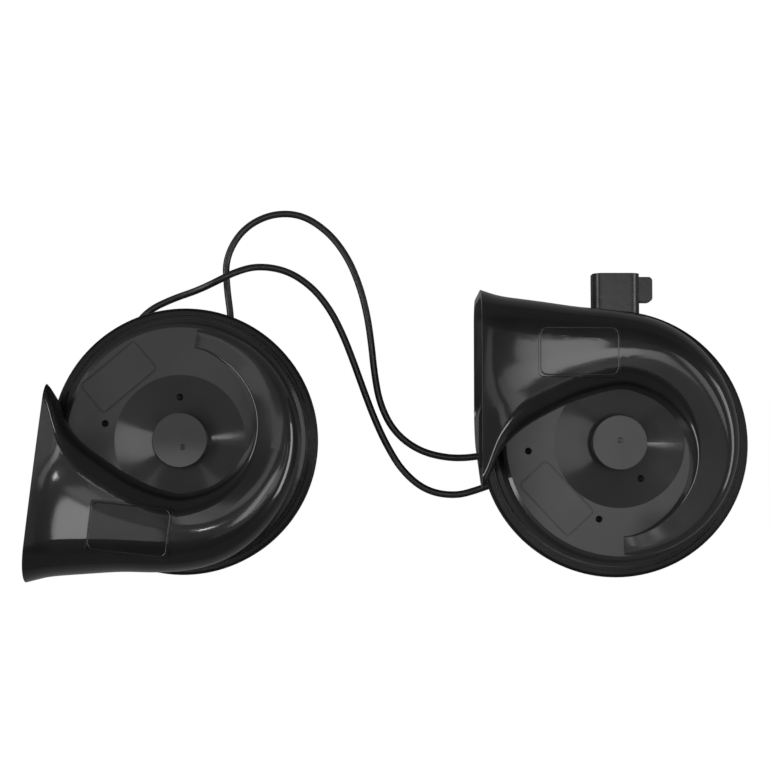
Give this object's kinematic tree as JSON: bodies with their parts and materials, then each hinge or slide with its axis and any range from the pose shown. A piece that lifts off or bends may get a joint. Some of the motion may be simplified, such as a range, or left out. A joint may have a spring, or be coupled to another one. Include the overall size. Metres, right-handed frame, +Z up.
{
  "type": "twin-tone electric car horn",
  "caption": "Pair of electric trumpet horns, high and low tone, with folded ducts, side-facing bells, crimped steel cans and back studs, joined by loose leads; one carries a socket.",
  "frame": {"origin": "middle of the set's footprint without its leads, on the surface that it lies on", "axes": "+Z up out of the horns' faces, along both horns' axes; the bells open towards -X; the socket opens towards +Y"},
  "size_m": [0.2478, 0.1336, 0.0531],
  "materials": {
    "shell": "glossy black moulded plastic",
    "can": "satin black electrocoat on deep-drawn steel",
    "spring_steel": "blue-grey spring steel",
    "gasket": "dull sealing sheet",
    "iron": "zinc-plated soft iron",
    "stud": "yellow-grey zinc plate",
    "bobbin": "dark moulded insulator",
    "copper": "enamelled copper",
    "brass": "plain brass",
    "cover": "fine-textured black plastic",
    "connector": "semi-gloss black plastic",
    "tin": "tin plate",
    "lead": "soft-sheen black insulation"
  },
  "bodies": {
    "horn_set": {"high_front_shell": "shell", "high_rear_shell": "shell", "high_steel_can": "can", "high_diaphragm": "spring_steel", "high_upper_gasket": "gasket", "high_lower_gasket": "gasket", "high_core_stud": "stud", "high_coil_bobbin": "bobbin", "high_coil_winding": "copper", "high_contact_base": "bobbin", "high_fixed_contact": "brass", "high_breaker_spring": "spring_steel", "high_contact_rivets": "brass", "high_adjusting_screw": "stud", "high_terminal_cover": "cover", "high_terminals": "brass", "low_front_shell": "shell", "low_rear_shell": "shell", "low_steel_can": "can", "low_diaphragm": "spring_steel", "low_upper_gasket": "gasket", "low_lower_gasket": "gasket", "low_core_stud": "stud", "low_coil_bobbin": "bobbin", "low_coil_winding": "copper", "low_contact_base": "bobbin", "low_fixed_contact": "brass", "low_breaker_spring": "spring_steel", "low_contact_rivets": "brass", "low_adjusting_screw": "stud", "low_terminal_cover": "cover", "low_terminals": "brass", "high_connector_housing": "connector", "high_connector_pins": "tin", "lead_a": "lead", "lead_b": "lead"},
    "high_plunger": {"high_armature": "iron", "high_armature_collar": "iron"},
    "low_plunger": {"low_armature": "iron", "low_armature_collar": "iron"}
  },
  "joints": [
    {"name": "high_stroke", "type": "slide", "parent": "horn_set", "child": "high_plunger", "axis": [0, 0, 1], "range_m": [-0.0005, 0.0003], "stiffness_N_per_m": 4000, "deforming": ["high_diaphragm", "high_breaker_spring"]},
    {"name": "low_stroke", "type": "slide", "parent": "horn_set", "child": "low_plunger", "axis": [0, 0, 1], "range_m": [-0.0005, 0.0003], "stiffness_N_per_m": 4000, "deforming": ["low_diaphragm", "low_breaker_spring"]}
  ]
}
